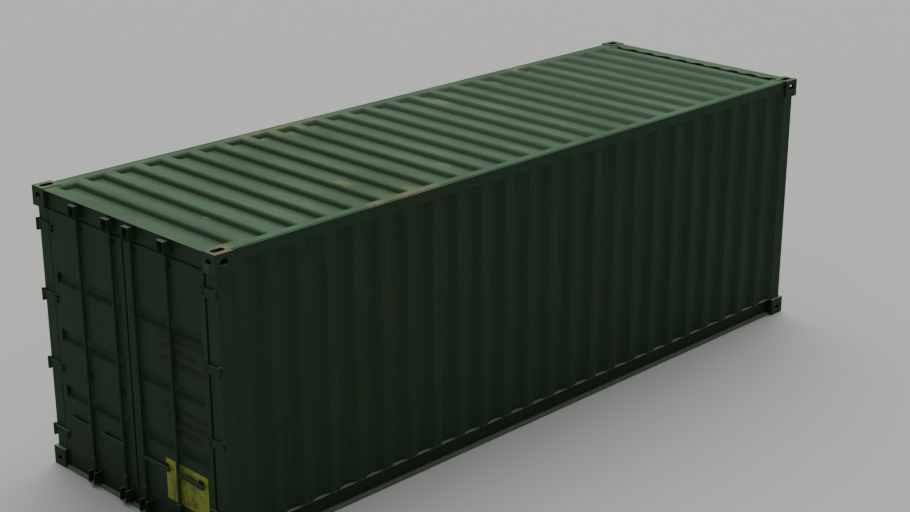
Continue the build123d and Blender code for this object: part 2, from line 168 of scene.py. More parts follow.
# Pattern scales are repeats a metre, and heights are metres above the ground.
paintValues = {
    "colours": {
        # side colours are painted dark as shade for upright faces; top colours are painted pale as light for
        # faces to the sky, partly from chalk and dust
        "side": "#1C361F",
        "sideFaded": "#26422A",
        "top": "#3D5D3A",
        "topDusty": "#517250",
        # painted light on the low ledges
        "litLedge": "#8FA084",
        "dirt": "#1C2416",
        "rust": "#33241A",
        "rustBright": "#4F3A26",
        "bruised": "#33381C",
        "tan": "#83845A",
        "scuffed": "#33503A",
        # bend: painted highlight on the upper slopes of the roof's troughs; the next: painted shade in the
        # troughs
        "bend": "#5F7D5C",
        "troughShade": "#193A17",
    },
    "panelCloud": 1.3,  # drifts about 770 mm across
    "blotch": 9.0,  # patches of about 110 mm
    "sprayGrain": 260.0,  # 4 mm, several times the real grain, so that it shows
    "runsAcross": 16.0,  # rain streaks 60 mm apart
    "runsDown": 0.7,
    "flakeAcross": 70.0,  # chips of about 14 by 45 mm
    "flakeDown": 22.0,
    "ledgeLow": 0.3,  # ledges below this height painted pale as light
    "ledgeHigh": 0.6,
    "splashLow": 0.02,
    "splashHigh": 0.45,
    "splashMost": 0.7,
    "wearLift": 0.14,  # how much easier paint chips at a worn place
    "roughLow": 0.6,
    "roughHigh": 0.78,
    "grainDepth": 0.4 * mm,
}

# Painted shade in the roof's troughs, strongest near the doors
troughValues = {
    "shadeLow": 20 * mm,  # full painted shade this far below the roof's top
    "shadeHigh": 1 * mm,
    "strongTo": -1.6,  # strongest up to this y, fading out to the next
    "fadeFrom": 2.8,
    "faintest": 0.35,
    "edgeFrom": -0.2,  # over a floor's half width, from its middle
    "edgeTo": 0.9,
    "edgeMost": 0.95,
}

colourMix = {"data_type": "RGBA"}


# Group: how near a point is to the places of a list, from 0 to 1.
def nearGroup(name, spots):
    tree = bpy.data.node_groups.new(name, "ShaderNodeTree")
    tree.interface.new_socket("Point", in_out="INPUT", socket_type="NodeSocketVector")
    tree.interface.new_socket("Near", in_out="OUTPUT", socket_type="NodeSocketFloat")
    source = tree.nodes.new("NodeGroupInput")
    last = None
    for x, y, z, reach in spots:
        gap = addNode(
            tree, "ShaderNodeVectorMath", {"operation": "DISTANCE"}, i0=source.outputs["Point"], i1=(x, y, z)
        )
        near = addNode(
            tree, "ShaderNodeMapRange", {"interpolation_type": "SMOOTHSTEP"},
            Value=gap.outputs["Value"], From_Max=reach, To_Min=1.0, To_Max=0.0,
        ).outputs["Result"]
        last = near if last is None else addNode(
            tree, "ShaderNodeMath", {"operation": "MAXIMUM"}, i0=last, i1=near
        ).outputs["Value"]
    end = tree.nodes.new("NodeGroupOutput")
    tree.links.new(last, end.inputs["Near"])
    return tree


wornPlaces = nearGroup("wornPlaces", wornSpots)
scuffedPlaces = nearGroup("scuffedPlaces", scuffSpots)


# Roof troughs: sloped sides painted pale as a highlight at the bend and dark as shade at the foot, and
# painted shade along the floors, darkest at their edge towards the front end.
def shadedTroughs(tree, axes, up, tones, paint):
    values = troughValues
    along, height = axes.outputs["Y"], axes.outputs["Z"]
    nearDoors = addNode(
        tree, "ShaderNodeMapRange", Value=along, From_Min=values["strongTo"], From_Max=values["fadeFrom"],
        To_Min=1.0, To_Max=values["faintest"],
    ).outputs["Result"]
    foot = addNode(
        tree, "ShaderNodeMapRange", Value=height, From_Min=roofTop - values["shadeLow"],
        From_Max=roofTop - values["shadeHigh"], To_Min=1.0, To_Max=0.0,
    ).outputs["Result"]
    foot = addNode(tree, "ShaderNodeMath", {"operation": "MULTIPLY"}, i0=foot, i1=nearDoors).outputs["Value"]
    # painted highlight at the bend, painted shade at the foot of each slope
    slopes = addNode(tree, "ShaderNodeMix", colourMix, i0=foot, i6=tones["bend"], i7=tones["troughShade"])
    steep = addNode(tree, "ShaderNodeMapRange", Value=up, From_Min=0.35, From_Max=0.6)
    flat = addNode(tree, "ShaderNodeMapRange", Value=up, From_Min=0.82, From_Max=0.95, To_Min=1.0, To_Max=0.0)
    sloped = addNode(
        tree, "ShaderNodeMath", {"operation": "MULTIPLY"},
        i0=steep.outputs["Result"], i1=flat.outputs["Result"],
    ).outputs["Value"]
    paint = addNode(tree, "ShaderNodeMix", colourMix, i0=sloped, i6=paint, i7=slopes.outputs[2]).outputs[2]

    # painted shade on the floors, darkest at the foot of the slope on the front-end side
    middle, pitch, halfFloor, level = troughFloors()
    wrapped = addNode(
        tree, "ShaderNodeMath", {"operation": "WRAP"},
        i0=along, i1=middle + pitch / 2, i2=middle - pitch / 2,
    ).outputs["Value"]
    offset = addNode(tree, "ShaderNodeMath", {"operation": "SUBTRACT"}, i0=wrapped, i1=middle)
    floorShade = addNode(
        tree, "ShaderNodeMapRange", Value=offset.outputs["Value"], From_Min=values["edgeFrom"] * halfFloor,
        From_Max=values["edgeTo"] * halfFloor, To_Max=values["edgeMost"],
    ).outputs["Result"]
    sunken = addNode(
        tree, "ShaderNodeMapRange", Value=height, From_Min=level + mm, From_Max=level + 3 * mm,
        To_Min=1.0, To_Max=0.0,
    ).outputs["Result"]
    for share in (sunken, nearDoors):
        floorShade = addNode(
            tree, "ShaderNodeMath", {"operation": "MULTIPLY"}, i0=floorShade, i1=share
        ).outputs["Value"]
    return addNode(tree, "ShaderNodeMix", colourMix, i0=floorShade, i6=paint, i7=tones["troughShade"]).outputs[2]


# Soft dark bands where the paint was rolled over again: x and z of the middle, half length, half height
bandSpots = [
    (0.70, 1.69, 0.30, 0.034),
    (0.66, 1.59, 0.24, 0.034),
    (0.72, 1.49, 0.30, 0.034),
    (0.70, 1.09, 0.30, 0.034),
    (0.74, 1.00, 0.27, 0.034),
    (0.68, 0.91, 0.24, 0.034),
]

bandValues = {
    "colour": "#0E1F14",
    "wobbleScale": 22.0,  # edges waver every 45 mm
    "wobble": (30 * mm, 0.0, 18 * mm),
    "wobbleMiddle": 12 * mm,
    "softEdge": 8 * mm,
    "scrubScale": 46.0,
    "coverLeast": 0.35,
    "coverMost": 0.9,
}


def rolledBands(tree, place, paint):
    values = bandValues
    wobble = addNode(tree, "ShaderNodeTexNoise", Vector=place, Scale=values["wobbleScale"], Detail=3.0)
    moved = addNode(
        tree, "ShaderNodeVectorMath", {"operation": "MULTIPLY_ADD"},
        i0=wobble.outputs["Color"], i1=values["wobble"], i2=place,
    )
    axes = addNode(tree, "ShaderNodeSeparateXYZ", Vector=moved.outputs["Vector"])
    last = None
    for x, z, halfLength, halfHeight in bandSpots:
        parts = []
        for axis, middle, half in (("X", x, halfLength), ("Z", z, halfHeight)):
            offset = addNode(
                tree, "ShaderNodeMath", {"operation": "SUBTRACT"},
                i0=axes.outputs[axis], i1=middle + values["wobbleMiddle"],
            )
            gap = addNode(tree, "ShaderNodeMath", {"operation": "ABSOLUTE"}, i0=offset.outputs["Value"])
            parts.append(addNode(
                tree, "ShaderNodeMapRange",
                Value=gap.outputs["Value"], From_Min=half, From_Max=half - values["softEdge"],
            ).outputs["Result"])
        inside = addNode(tree, "ShaderNodeMath", {"operation": "MULTIPLY"}, i0=parts[0], i1=parts[1])
        last = inside.outputs["Value"] if last is None else addNode(
            tree, "ShaderNodeMath", {"operation": "MAXIMUM"}, i0=last, i1=inside.outputs["Value"]
        ).outputs["Value"]
    scrub = addNode(tree, "ShaderNodeTexNoise", Vector=place, Scale=values["scrubScale"], Detail=5.0)
    cover = addNode(
        tree, "ShaderNodeMapRange", Value=scrub.outputs["Fac"], From_Min=0.35, From_Max=0.6,
        To_Min=values["coverLeast"], To_Max=values["coverMost"],
    ).outputs["Result"]
    # only on faces that point out of the door
    ownFacing = addNode(tree, "ShaderNodeTexCoord").outputs["Normal"]
    outward = addNode(tree, "ShaderNodeSeparateXYZ", Vector=ownFacing).outputs["Y"]
    outside = addNode(
        tree, "ShaderNodeMapRange", Value=outward, From_Min=-0.3, From_Max=0.0, To_Min=1.0, To_Max=0.0
    ).outputs["Result"]
    for share in (cover, outside):
        last = addNode(tree, "ShaderNodeMath", {"operation": "MULTIPLY"}, i0=last, i1=share).outputs["Value"]
    return addNode(
        tree, "ShaderNodeMix", colourMix, i0=last, i6=paint, i7=linearColour(values["colour"])
    ).outputs[2]


# Matt military alkyd paint sprayed on steel: flat and slightly grainy, paler where it faces the sky from
# chalk and dust and from painted light, darker on upright faces as painted shade, streaked by rain on
# upright faces, and chipped to rust at the worn places.
def alkydPaint(name, bands=False, troughs=False):
    values = paintValues
    tones = {key: linearColour(text) for key, text in values["colours"].items()}
    material, tree = newMaterial(name)
    place = addNode(tree, "ShaderNodeTexCoord").outputs["Object"]
    axes = addNode(tree, "ShaderNodeSeparateXYZ", Vector=place)
    height = axes.outputs["Z"]
    facing = addNode(tree, "ShaderNodeNewGeometry").outputs["Normal"]
    up = addNode(tree, "ShaderNodeSeparateXYZ", Vector=facing).outputs["Z"]
    broad = addNode(
        tree, "ShaderNodeTexNoise", Vector=place, Scale=values["panelCloud"], Detail=4.0, Roughness=0.6
    ).outputs["Fac"]
    cloud = addNode(
        tree, "ShaderNodeTexNoise", Vector=place, Scale=values["blotch"], Detail=5.0, Roughness=0.65
    ).outputs["Fac"]
    grain = addNode(
        tree, "ShaderNodeTexNoise", Vector=place, Scale=values["sprayGrain"], Detail=2.0
    ).outputs["Fac"]
    streaks = []
    for across, down, detail in (
        (values["runsAcross"], values["runsDown"], 5.0),
        (values["flakeAcross"], values["flakeDown"], 6.0),
    ):
        tall = addNode(tree, "ShaderNodeMapping", Vector=place, Scale=(across, across, down))
        streaks.append(addNode(
            tree, "ShaderNodeTexNoise", Vector=tall.outputs["Vector"], Scale=1.0, Detail=detail, Roughness=0.7
        ).outputs["Fac"])
    runs, flakes = streaks

    # upright faces, in colours painted dark as shade
    fade = addNode(
        tree, "ShaderNodeMapRange", Value=runs, From_Min=0.45, From_Max=0.8, To_Max=0.6
    ).outputs["Result"]
    sides = addNode(tree, "ShaderNodeMix", colourMix, i0=fade, i6=tones["side"], i7=tones["sideFaded"])

    # faces to the sky: dust, chalk and painted light make them paler
    dusty = addNode(tree, "ShaderNodeMapRange", Value=broad, From_Min=0.35, From_Max=0.68).outputs["Result"]
    tops = addNode(tree, "ShaderNodeMix", colourMix, i0=dusty, i6=tones["top"], i7=tones["topDusty"])
    # low ledges painted pale as light, standing in for light on them in the walls' shade
    low = addNode(
        tree, "ShaderNodeMapRange",
        Value=height, From_Min=values["ledgeLow"], From_Max=values["ledgeHigh"], To_Min=1.0, To_Max=0.0,
    ).outputs["Result"]
    tops = addNode(tree, "ShaderNodeMix", colourMix, i0=low, i6=tops.outputs[2], i7=tones["litLedge"])
    upward = addNode(
        tree, "ShaderNodeMapRange", {"interpolation_type": "SMOOTHSTEP"},
        Value=up, From_Min=0.76, From_Max=0.97,
    ).outputs["Result"]
    # painted light and shade: faces to the sky take the pale colours, upright faces the dark ones
    paint = addNode(
        tree, "ShaderNodeMix", colourMix, i0=upward, i6=sides.outputs[2], i7=tops.outputs[2]
    ).outputs[2]
    # painted light and shade in the roof's troughs
    if troughs:
        paint = shadedTroughs(tree, axes, up, tones, paint)
    uneven = addNode(
        tree, "ShaderNodeMapRange", Value=cloud, From_Min=0.3, From_Max=0.7, To_Min=0.86, To_Max=1.1
    ).outputs["Result"]
    paint = addNode(
        tree, "ShaderNodeVectorMath", {"operation": "SCALE"}, i0=paint, Scale=uneven
    ).outputs["Vector"]

    # splashed dirt low down
    splash = addNode(
        tree, "ShaderNodeMapRange", Value=height, From_Min=values["splashLow"], From_Max=values["splashHigh"],
        To_Min=values["splashMost"], To_Max=0.0,
    ).outputs["Result"]
    splash = addNode(tree, "ShaderNodeMath", {"operation": "MULTIPLY"}, i0=splash, i1=cloud).outputs["Value"]
    paint = addNode(tree, "ShaderNodeMix", colourMix, i0=splash, i6=paint, i7=tones["dirt"]).outputs[2]
    if bands:
        paint = rolledBands(tree, place, paint)

    # tan stains soaked into the chalky paint of faces to the sky, and pale scuffs
    wear = addNode(tree, "ShaderNodeGroup", {"node_tree": wornPlaces}, Point=place).outputs["Near"]
    scuff = addNode(tree, "ShaderNodeGroup", {"node_tree": scuffedPlaces}, Point=place).outputs["Near"]
    soak = addNode(
        tree, "ShaderNodeMapRange", Value=cloud, From_Min=0.35, From_Max=0.52, To_Min=0.3
    ).outputs["Result"]
    for share in (wear, upward):
        soak = addNode(tree, "ShaderNodeMath", {"operation": "MULTIPLY"}, i0=soak, i1=share).outputs["Value"]
    paint = addNode(tree, "ShaderNodeMix", colourMix, i0=soak, i6=paint, i7=tones["tan"]).outputs[2]
    paint = addNode(tree, "ShaderNodeMix", colourMix, i0=scuff, i6=paint, i7=tones["scuffed"]).outputs[2]

    # chips, longer down the face than across it, each in a ring of bruised paint
    bared = addNode(
        tree, "ShaderNodeMath", {"operation": "MULTIPLY_ADD"}, i0=wear, i1=values["wearLift"], i2=flakes
    ).outputs["Value"]
    ring = addNode(
        tree, "ShaderNodeMapRange", Value=bared, From_Min=0.60, From_Max=0.70, To_Max=0.6
    ).outputs["Result"]
    chip = addNode(
        tree, "ShaderNodeMapRange", Value=bared, From_Min=0.68, From_Max=0.74, To_Max=0.9
    ).outputs["Result"]
    paint = addNode(tree, "ShaderNodeMix", colourMix, i0=ring, i6=paint, i7=tones["bruised"])
    rust = addNode(tree, "ShaderNodeMix", colourMix, i0=cloud, i6=tones["rust"], i7=tones["rustBright"])
    colour = addNode(
        tree, "ShaderNodeMix", colourMix, i0=chip, i6=paint.outputs[2], i7=rust.outputs[2]
    ).outputs[2]

    rough = addNode(
        tree, "ShaderNodeMapRange", Value=cloud, From_Min=0.3, From_Max=0.7,
        To_Min=values["roughLow"], To_Max=values["roughHigh"],
    ).outputs["Result"]
    skin = addNode(tree, "ShaderNodeMath", {"operation": "SUBTRACT"}, i0=grain, i1=chip).outputs["Value"]
    shader = addNode(
        tree, "ShaderNodeBsdfPrincipled", Base_Color=colour, Roughness=rough, IOR=1.5, Specular_IOR_Level=0.25
    )
    closeMaterial(tree, shader, skin, values["grainDepth"], 0.5)
    return material


rubberValues = {
    "colours": ("#121312", "#262825"),
    "bloomScale": 40.0,  # dusty patches of 25 mm
    "roughness": 0.72,
    "bloomDepth": 0.5 * mm,
}


# EPDM weather seal: extruded black rubber, dull, with a fine dusty bloom.
def sealRubber():
    values = rubberValues
    clean, dusty = (linearColour(text) for text in values["colours"])
    material, tree = newMaterial("epdmRubber")
    place = addNode(tree, "ShaderNodeTexCoord").outputs["Object"]
    bloom = addNode(
        tree, "ShaderNodeTexNoise", Vector=place, Scale=values["bloomScale"], Detail=4.0
    ).outputs["Fac"]
    tone = addNode(tree, "ShaderNodeMix", colourMix, i0=bloom, i6=clean, i7=dusty).outputs[2]
    shader = addNode(
        tree, "ShaderNodeBsdfPrincipled", Base_Color=tone, Roughness=values["roughness"], IOR=1.52
    )
    closeMaterial(tree, shader, bloom, values["bloomDepth"], 0.4)
    return material


zincValues = {
    "colours": ("#3B4136", "#2A2318"),
    "stainScale": 60.0,  # mottled every 17 mm, about a bolt apart
    "roughness": 0.55,
    "metallic": 0.6,
    "stainDepth": 0.3 * mm,
}


# Zinc-plated bolts gone dull and painted over: grey-green, mottled, brown round the edges.
def zincPlate():
    values = zincValues
    painted, brown = (linearColour(text) for text in values["colours"])
    material, tree = newMaterial("dulledZinc")
    place = addNode(tree, "ShaderNodeTexCoord").outputs["Object"]
    stain = addNode(
        tree, "ShaderNodeTexNoise", Vector=place, Scale=values["stainScale"], Detail=5.0
    ).outputs["Fac"]
    tone = addNode(tree, "ShaderNodeMix", colourMix, i0=stain, i6=painted, i7=brown).outputs[2]
    shader = addNode(
        tree, "ShaderNodeBsdfPrincipled",
        Base_Color=tone, Roughness=values["roughness"], Metallic=values["metallic"],
    )
    closeMaterial(tree, shader, stain, values["stainDepth"], 0.5)
    return material


plywoodValues = {
    "colours": ("#4A2F1C", "#7C5636", "#6A6257"),
    "grainScale": (60.0, 2.2, 20.0),  # grain 17 mm wide and 450 mm long
    "scuffScale": 3.0,
    "scuffMost": 0.7,
    "roughness": 0.62,
    "grainDepth": 0.5 * mm,
}


# Hardwood plywood deck: brown boards along the box, scuffed grey by cargo.
def deckPlywood():
    values = plywoodValues
    dark, light, scuffed = (linearColour(text) for text in values["colours"])
    material, tree = newMaterial("hardwoodPlywood")
    place = addNode(tree, "ShaderNodeTexCoord").outputs["Object"]
    along = addNode(tree, "ShaderNodeMapping", Vector=place, Scale=values["grainScale"])
    grain = addNode(
        tree, "ShaderNodeTexNoise", Vector=along.outputs["Vector"], Scale=1.0, Detail=6.0
    ).outputs["Fac"]
    scuff = addNode(tree, "ShaderNodeTexNoise", Vector=place, Scale=values["scuffScale"], Detail=7.0)
    wood = addNode(tree, "ShaderNodeMix", colourMix, i0=grain, i6=dark, i7=light).outputs[2]
    worn = addNode(
        tree, "ShaderNodeMapRange",
        Value=scuff.outputs["Fac"], From_Min=0.45, From_Max=0.75, To_Max=values["scuffMost"],
    ).outputs["Result"]
    tone = addNode(tree, "ShaderNodeMix", colourMix, i0=worn, i6=wood, i7=scuffed).outputs[2]
    shader = addNode(
        tree, "ShaderNodeBsdfPrincipled", Base_Color=tone, Roughness=values["roughness"], IOR=1.5
    )
    closeMaterial(tree, shader, grain, values["grainDepth"], 0.5)
    return material


oliveAlkydPaint = alkydPaint("oliveAlkydPaint")
oliveRoofPaint = alkydPaint("oliveRoofPaint", troughs=True)
oliveMarkedPaint = alkydPaint("oliveMarkedPaint", bands=True)
epdmRubber = sealRubber()
dulledZinc = zincPlate()
hardwoodPlywood = deckPlywood()

for nodeName, nodeObject in cadNodes.items():
    finish = oliveAlkydPaint
    if "gasket" in nodeName:
        finish = epdmRubber
    elif nodeName == "floor":
        finish = hardwoodPlywood
    elif nodeName in ("right_door_panel", "right_door_frame"):
        finish = oliveMarkedPaint
    elif nodeName.startswith("roof"):
        finish = oliveRoofPaint
    for matSlot in nodeObject.material_slots:
        matSlot.material = finish
print("frame dressed:", len(cadNodes), "nodes")


# Middle heights of the solids of a node that repeats upwards.
def levels(nodeName, gap):
    mesh = cadNodes[nodeName].data
    heights = sorted({round(vertex.co.z, 4) for vertex in mesh.vertices})
    groups = [[heights[0]]]
    for height in heights[1:]:
        if height - groups[-1][-1] > gap:
            groups.append([])
        groups[-1].append(height)
    return [(group[0] + group[-1]) / 2 for group in groups]


guideLevels = levels("right_rod_guides", 200 * mm)
hingeLevels = levels("right_hinge_blades", 200 * mm)


def activate(piece):
    clearSelection()
    piece.select_set(True)
    bpy.context.view_layer.objects.active = piece


# The object itself goes to the origin, so that its place is in its mesh.
def settle(piece):
    activate(piece)
    bpy.ops.object.transform_apply(location=True, rotation=True, scale=True)


def finishPiece(piece, name, body, material):
    settle(piece)
    piece.name = name
    piece.data.materials.clear()
    piece.data.materials.append(material)
    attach(piece, body)


def joinPieces(pieces):
    activate(pieces[0])
    for other in pieces[1:]:
        other.select_set(True)
    bpy.ops.object.join()
    return pieces[0]


# Copies of one model at many places, each with its own mesh, joined as one piece.
def repeatPiece(model, spots):
    copies = []
    for spot in spots:
        twin = model.copy()
        twin.data = model.data.copy()
        bpy.context.scene.collection.objects.link(twin)
        twin.location = spot
        copies.append(twin)
    bpy.data.objects.remove(model)
    return joinPieces(copies)


def selectFaces(piece, wanted):
    activate(piece)
    for item in (*piece.data.vertices, *piece.data.edges):
        item.select = False
    for face in piece.data.polygons:
        face.select = wanted(face)
    bpy.ops.object.mode_set(mode="EDIT")


# Edges are picked by the way from one end to the other.
def selectEdges(piece, wanted):
    activate(piece)
    for item in (*piece.data.vertices, *piece.data.polygons):
        item.select = False
    for edge in piece.data.edges:
        start, end = (piece.data.vertices[i].co for i in edge.vertices)
        edge.select = wanted(end - start)
    bpy.ops.object.mode_set(mode="EDIT")
    bpy.ops.mesh.select_mode(type="EDGE")


# Bolts: a chamfered hex head on a pressed flange, made pointing up and then laid towards the doors' front
boltValues = {
    "headRadius": 9.5 * mm,
    "headHeight": 6.5 * mm,
    "flangeRadius": 13.5 * mm,
    "flangeHeight": 2.0 * mm,
    "flangeEdge": 1.5 * mm,
    "flangeDome": 0.6 * mm,
    "chamfer": 1.2 * mm,
    "chamferHeight": 0.72 * mm,
    "guideStep": 29 * mm,
    "guideFoot": 4 * mm,
    "bladeSteps": (16 * mm, 38 * mm),
    "bladeRise": 20 * mm,
    "bladeThickness": 12 * mm,
    "restHalf": 30 * mm,
    "restStep": 18 * mm,
    "restDrop": 16 * mm,
}


def hexBolt():
    values = boltValues
    clearSelection()
    bpy.ops.mesh.primitive_cylinder_add(
        vertices=18, radius=values["flangeRadius"], depth=values["flangeHeight"],
        location=(0.0, 0.0, values["flangeHeight"] / 2),
    )
    flange = bpy.context.object
    selectFaces(flange, lambda face: face.normal.z > 0.9)
    bpy.ops.mesh.inset(thickness=values["flangeEdge"], depth=values["flangeDome"])
    clearSelection()
    bpy.ops.mesh.primitive_cylinder_add(
        vertices=6, radius=values["headRadius"], depth=values["headHeight"],
        location=(0.0, 0.0, values["flangeHeight"] + values["headHeight"] / 2),
    )
    head = bpy.context.object
    selectFaces(head, lambda face: face.normal.z > 0.9)
    bpy.ops.mesh.inset(thickness=values["chamfer"], depth=values["chamferHeight"])
    settle(head)
    settle(flange)
    bolt = joinPieces([flange, head])
    bolt.rotation_euler = (math.pi / 2, 0.0, 0.0)
    settle(bolt)
    return bolt


def boltDoor(side, sign):
    values = boltValues
    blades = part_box(side + "_hinge_blades")
    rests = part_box(side + "_handle_rests")
    bladeStart = min(abs(blades[0].x), abs(blades[1].x))
    restEnds = sorted((abs(rests[0].x), abs(rests[1].x)))
    footY = leafFace - values["guideFoot"]
    spots = []
    for place in ("inner", "outer"):
        for z in guideLevels:
            for step in (-values["guideStep"], values["guideStep"]):
                spots.append((sign * rodX[place] + step, footY, z))
    for middle in (restEnds[0] + values["restHalf"], restEnds[1] - values["restHalf"]):
        for step in (-values["restStep"], values["restStep"]):
            spots.append((sign * middle + step, footY, rests[1].z - values["restDrop"]))
    for z in hingeLevels:
        for step in values["bladeSteps"]:
            for rise in (-values["bladeRise"], values["bladeRise"]):
                spots.append((sign * (bladeStart + step), leafFace - values["bladeThickness"], z + rise))
    finishPiece(repeatPiece(hexBolt(), spots), side + "_door_bolts", side + "_door", dulledZinc)


boltDoor("right", 1)
boltDoor("left", -1)
print("doors bolted")


# Hinge pins: a domed head on the top of each
pinHeadValues = {
    "radius": 10.5 * mm,
    "height": 4.0 * mm,
    "domeSteps": (2.2 * mm, 3.4 * mm),
    "domeRise": 0.8 * mm,
    "lugReach": 52 * mm,
    "smoothAngle": 40,
}


def capPins():
    values = pinHeadValues
    clearSelection()
    bpy.ops.mesh.primitive_cylinder_add(
        vertices=24, radius=values["radius"], depth=values["height"],
        location=(0.0, 0.0, values["height"] / 2),
    )
    head = bpy.context.object
    for step in values["domeSteps"]:
        selectFaces(head, lambda face: face.normal.z > 0.99)
        bpy.ops.mesh.inset(thickness=step, depth=values["domeRise"])
        bpy.ops.object.mode_set(mode="OBJECT")
    settle(head)
    bpy.ops.object.shade_smooth_by_angle(angle=math.radians(values["smoothAngle"]))
    spots = [(sign * pinX, pinY, z + values["lugReach"]) for sign in (1, -1) for z in hingeLevels]
    finishPiece(repeatPiece(head, spots), "hinge_pin_heads", "frame_body", oliveAlkydPaint)


capPins()
print("pins capped")


# Rod collars: a plain ring above the lowest guide and below the highest one
collarValues = {
    "radius": 18.5 * mm,
    "height": 12 * mm,
    "edge": 1.5 * mm,
    "guideHalf": 15 * mm,
    "play": 2 * mm,
    "smoothAngle": 40,
}


def collarRods(side, sign):
    values = collarValues
    reach = values["guideHalf"] + values["play"] + values["height"] / 2
    for place in ("inner", "outer"):
        clearSelection()
        bpy.ops.mesh.primitive_cylinder_add(vertices=32, radius=values["radius"], depth=values["height"])
        ring = bpy.context.object
        selectFaces(ring, lambda face: abs(face.normal.z) > 0.9)
        bpy.ops.mesh.inset(thickness=values["edge"], depth=values["edge"], use_boundary=True)
        settle(ring)
        bpy.ops.object.shade_smooth_by_angle(angle=math.radians(values["smoothAngle"]))
        x = sign * rodX[place]
        rings = repeatPiece(ring, [(x, rodY, guideLevels[0] + reach), (x, rodY, guideLevels[-1] - reach)])
        name = side + "_" + place
        finishPiece(rings, name + "_rod_collars", name + "_rod", oliveAlkydPaint)


collarRods("right", 1)
collarRods("left", -1)
print("rods collared")


# Weld beads: rounded runs with the ripple of hand welding
weldValues = {
    "sides": 8,
    "segment": 18 * mm,
    "ripple": 1.4 * mm,
    "rippleSize": 12 * mm,
    "fine": 2.2 * mm,
    "broad": 4.0 * mm,
    "flush": 1.6 * mm,
    "lowEnd": 20 * mm,
    "headerStep": 10 * mm,
    "keeperHalf": 44 * mm,
}


def weldBead(start, end, radius):
    start, end = Vector(start), Vector(end)
    along = end - start
    clearSelection()
    bpy.ops.mesh.primitive_cylinder_add(
        vertices=weldValues["sides"], radius=radius, depth=along.length, location=(start + end) / 2,
        rotation=along.to_track_quat("Z", "Y").to_euler(),
    )
    bead = bpy.context.object
    selectEdges(bead, lambda way: abs(way.z) > radius / 2)
    bpy.ops.mesh.subdivide(number_cuts=max(1, int(along.length / weldValues["segment"])))
    bpy.ops.object.mode_set(mode="OBJECT")
    settle(bead)
    return bead


# The wall's outline along its foot, from bend to bend.
def footPath(nodeName, sign):
    corners = [vertex.co for vertex in cadNodes[nodeName].data.vertices]
    foot = min(corner.z for corner in corners)
    depths = sorted({round(sign * corner.x, 4) for corner in corners})
    outside = (depths[1], depths[-1])
    bends = {
        (round(corner.y, 4), round(sign * corner.x, 4)) for corner in corners
        if corner.z < foot + mm and round(sign * corner.x, 4) in outside
    }
    return [(sign * x, y, foot) for y, x in sorted(bends)]


def weldLines():
    values = weldValues
    broad, fine, flush = values["broad"], values["fine"], values["flush"]
    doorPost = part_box("door_posts")
    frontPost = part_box("front_posts")
    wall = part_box("right_side_wall")
    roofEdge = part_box("roof")[1].x
    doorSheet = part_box("roof_door_sheet")
    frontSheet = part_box("roof_front_sheet")
    headerFace = doorPost[0].y + values["headerStep"]
    lines = []
    for sign in (1, -1):
        face = sign * sideFace
        inner = sign * fittingInner
        for z in (fittingTop, fittingFoot):
            lines.append(((face, doorPost[0].y, z), (face, doorPost[1].y, z), broad))
            lines.append(((inner, doorPost[0].y, z), (face, doorPost[0].y, z), broad))
            lines.append(((face, frontPost[0].y, z), (face, frontPost[1].y, z), broad))
            lines.append(((inner, frontPost[1].y, z), (face, frontPost[1].y, z), broad))
        for y in (wall[0].y, wall[1].y):
            lines.append(((face, y, fittingTop), (face, y, fittingFoot), fine))
            lines.append(((face, y, values["lowEnd"]), (face, y, fittingTop), broad))
            lines.append(((face, y, fittingFoot), (face, y, roofTop), broad))
        lines.append(((sign * roofEdge, wall[0].y, roofTop), (sign * roofEdge, wall[1].y, roofTop), fine))
        lines.append(((inner, wall[0].y, roofTop), (inner, doorSheet[1].y, roofTop), flush))
        lines.append(((inner, frontSheet[0].y, roofTop), (inner, wall[1].y, roofTop), flush))
    for nodeName, sign in (("right_side_wall", 1), ("left_side_wall", -1)):
        path = footPath(nodeName, sign)
        lines.extend((start, end, broad) for start, end in zip(path, path[1:]))
    for y in (doorSheet[1].y, frontSheet[0].y):
        lines.append(((-fittingInner, y, roofTop), (fittingInner, y, roofTop), flush))
    for nodeName in ("top_keepers", "bottom_keepers"):
        low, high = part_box(nodeName)
        for sign in (1, -1):
            for place in ("inner", "outer"):
                for step in (-values["keeperHalf"], values["keeperHalf"]):
                    x = sign * rodX[place] + step
                    lines.append(((x, headerFace, low.z), (x, headerFace, high.z), fine))
    return lines


def weldFrame():
    seam = joinPieces([weldBead(*line) for line in weldLines()])
    texture = bpy.data.textures.new("weldRipple", "CLOUDS")
    texture.noise_scale = weldValues["rippleSize"]
    activate(seam)
    ripple = seam.modifiers.new("ripple", "DISPLACE")
    ripple.texture = texture
    ripple.strength = weldValues["ripple"]
    ripple.mid_level = 0.5
    bpy.ops.object.modifier_apply(modifier="ripple")
    bpy.ops.object.shade_smooth()
    finishPiece(seam, "frame_welds", "frame_body", oliveAlkydPaint)
    print("welds:", len(seam.data.polygons), "faces")


weldFrame()


# Yellow field low on the right door: a thin film with rounded corners
filmValues = {
    "low": (0.41, 0.255),  # x and z
    "high": (0.957, 0.615),
    "thickness": 0.6 * mm,
    "corner": 14 * mm,
    "colours": ("#8F9B0A", "#7E8A0C", "#32401C"),
    "scuffScale": 14.0,  # rubbed patches of 70 mm
    "fineScale": 120.0,
    "rubbedReach": 0.3,  # from the middle, where it is rubbed most
    "roughness": 0.42,
    "fineDepth": 0.2 * mm,
}


